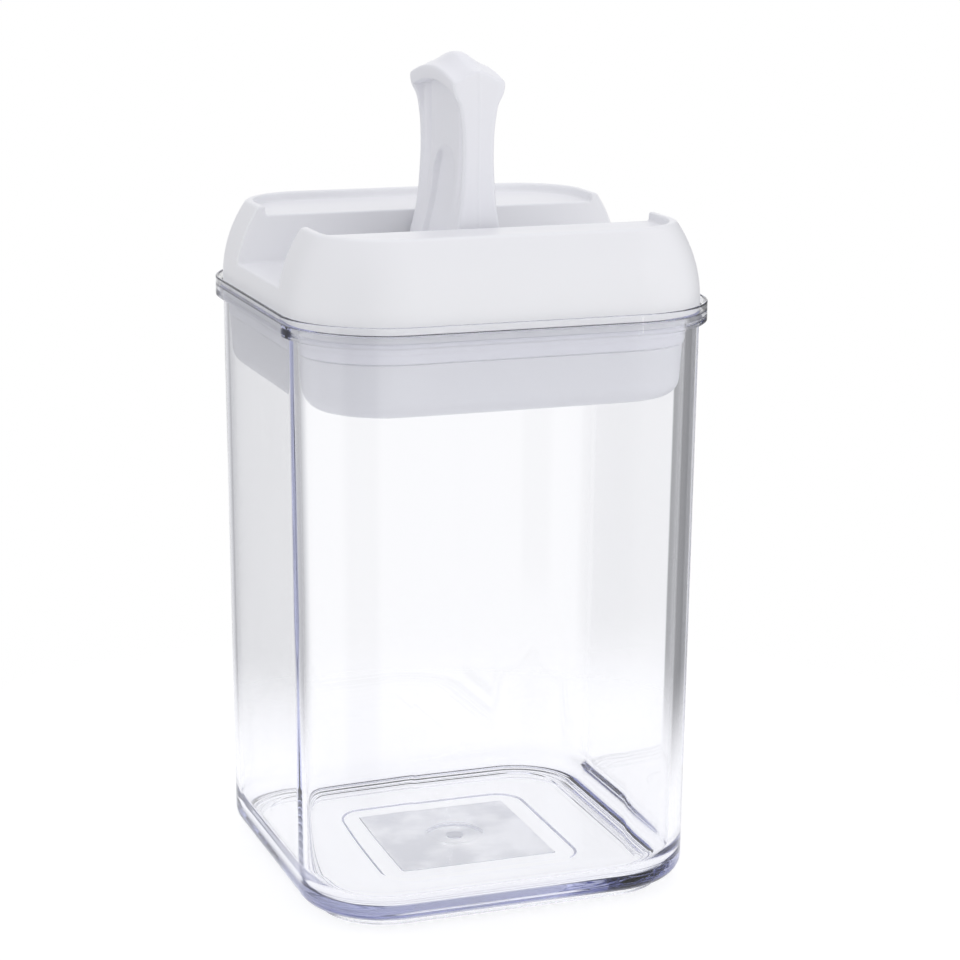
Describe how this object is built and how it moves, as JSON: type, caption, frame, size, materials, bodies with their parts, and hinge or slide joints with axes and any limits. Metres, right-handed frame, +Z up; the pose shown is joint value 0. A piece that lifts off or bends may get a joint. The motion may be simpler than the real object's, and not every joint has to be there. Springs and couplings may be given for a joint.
{
  "type": "food canister",
  "caption": "Clear square food storage jar with a white plug lid; an upright lever on the lid folds down into a channel to squeeze the gasket.",
  "frame": {"origin": "centre of the foot ring's underside, on the surface the jar stands on", "axes": "+Z up; +X along the lid's channel, the way the lever folds down; +Y to the back"},
  "size_m": [0.1028, 0.1028, 0.1988],
  "materials": {
    "clear_acrylic": "clear, polished",
    "white_plastic": "satin moulded",
    "lever_plastic": "satin moulded",
    "silicone": "soft matte, slightly translucent",
    "steel": "plain",
    "spring_steel": "drawn wire",
    "acetal": "natural acetal"
  },
  "bodies": {
    "canister": {"canister_body": "clear_acrylic"},
    "lid": {"lid_cover": "white_plastic", "cam_plate": "steel", "post_bush": "acetal", "gasket_carrier": "white_plastic", "carrier_screws": "steel", "lid_gasket": "silicone", "return_spring": "spring_steel"},
    "plunger": {"pull_post": "acetal", "plug_plate": "white_plastic", "plug_cup": "white_plastic", "stem_washer": "steel", "stem_screw": "steel"},
    "lever": {"lever": "lever_plastic", "hinge_pin": "steel", "pin_caps": "lever_plastic"}
  },
  "joints": [
    {"name": "lid_lift", "type": "slide", "parent": "canister", "child": "lid", "axis": [0, 0, 1], "range_m": [0, 0.045]},
    {"name": "plunger_lift", "type": "slide", "parent": "lid", "child": "plunger", "axis": [0, 0, 1], "range_m": [0, 0.002], "deforming": ["lid_gasket", "return_spring"]},
    {"name": "lever_flip", "type": "hinge", "parent": "plunger", "child": "lever", "pos_m": [0, 0, 0.1527], "axis": [0, 1, 0], "range_deg": [0, 90]}
  ],
  "couplings": [
    {"joint": "plunger_lift", "follows": "lever_flip", "m_per_rad": 0.001273}
  ]
}
